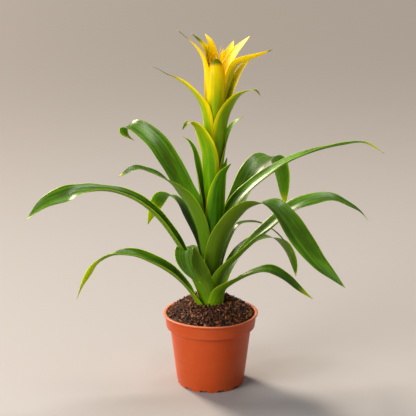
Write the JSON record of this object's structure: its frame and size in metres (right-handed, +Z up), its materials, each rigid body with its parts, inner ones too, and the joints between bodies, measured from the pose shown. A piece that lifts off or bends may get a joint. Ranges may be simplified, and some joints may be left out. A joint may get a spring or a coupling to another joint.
{
  "type": "potted bromeliad",
  "caption": "Potted bromeliad: arching green strap leaves round a spike of green-to-yellow bracts, in heaped soil in a round tapered plastic nursery pot.",
  "frame": {"origin": "centre of the pot's underside, on the surface the pot stands on", "axes": "+Z up along the pot's axis; the plant's front faces -Y, with +X to the right of the front view"},
  "size_m": [0.442, 0.2946, 0.449],
  "materials": {
    "pot_plastic": "satin",
    "potting_soil": "rough",
    "stem_green": "satin",
    "leaf_green": "semi-gloss",
    "bract_green": "semi-gloss",
    "bract_lime": "semi-gloss",
    "bract_yellow": "semi-gloss"
  },
  "bodies": {
    "root": {"pot": "pot_plastic", "potting_soil": "potting_soil", "stem": "stem_green", "leaf_left_high": "leaf_green", "leaf_right_high": "leaf_green", "leaf_right_rear": "leaf_green", "leaf_left_mid": "leaf_green", "leaf_front_right": "leaf_green", "leaf_left_rear": "leaf_green", "leaf_right_thin": "leaf_green", "leaf_left_long": "leaf_green", "leaf_right_back_low": "leaf_green", "leaf_right_mid": "leaf_green", "leaf_left_low": "leaf_green", "leaf_back_high": "leaf_green", "leaf_front_folded": "leaf_green", "leaf_right_low": "leaf_green", "leaf_back_low": "leaf_green", "bract_front_green": "bract_green", "bract_right_rear_green": "bract_green", "bract_left_rear_green": "bract_green", "bract_front_left": "bract_green", "bract_back_green": "bract_green", "bract_right": "bract_green", "bract_front_right": "bract_lime", "bract_back_left": "bract_lime", "bract_left_yellow": "bract_lime", "bract_back_right": "bract_lime", "head_bract_1": "bract_yellow", "head_bract_2": "bract_yellow", "head_bract_3": "bract_yellow", "head_bract_4": "bract_yellow", "head_bract_5": "bract_yellow", "head_bract_6": "bract_yellow", "head_bract_7": "bract_yellow", "head_bract_8": "bract_yellow", "head_bract_9": "bract_yellow", "head_bract_10": "bract_yellow", "head_bract_11": "bract_yellow", "head_bract_12": "bract_yellow", "head_bract_13": "bract_yellow", "head_bract_14": "bract_yellow", "head_bract_15": "bract_yellow"}
  },
  "joints": []
}
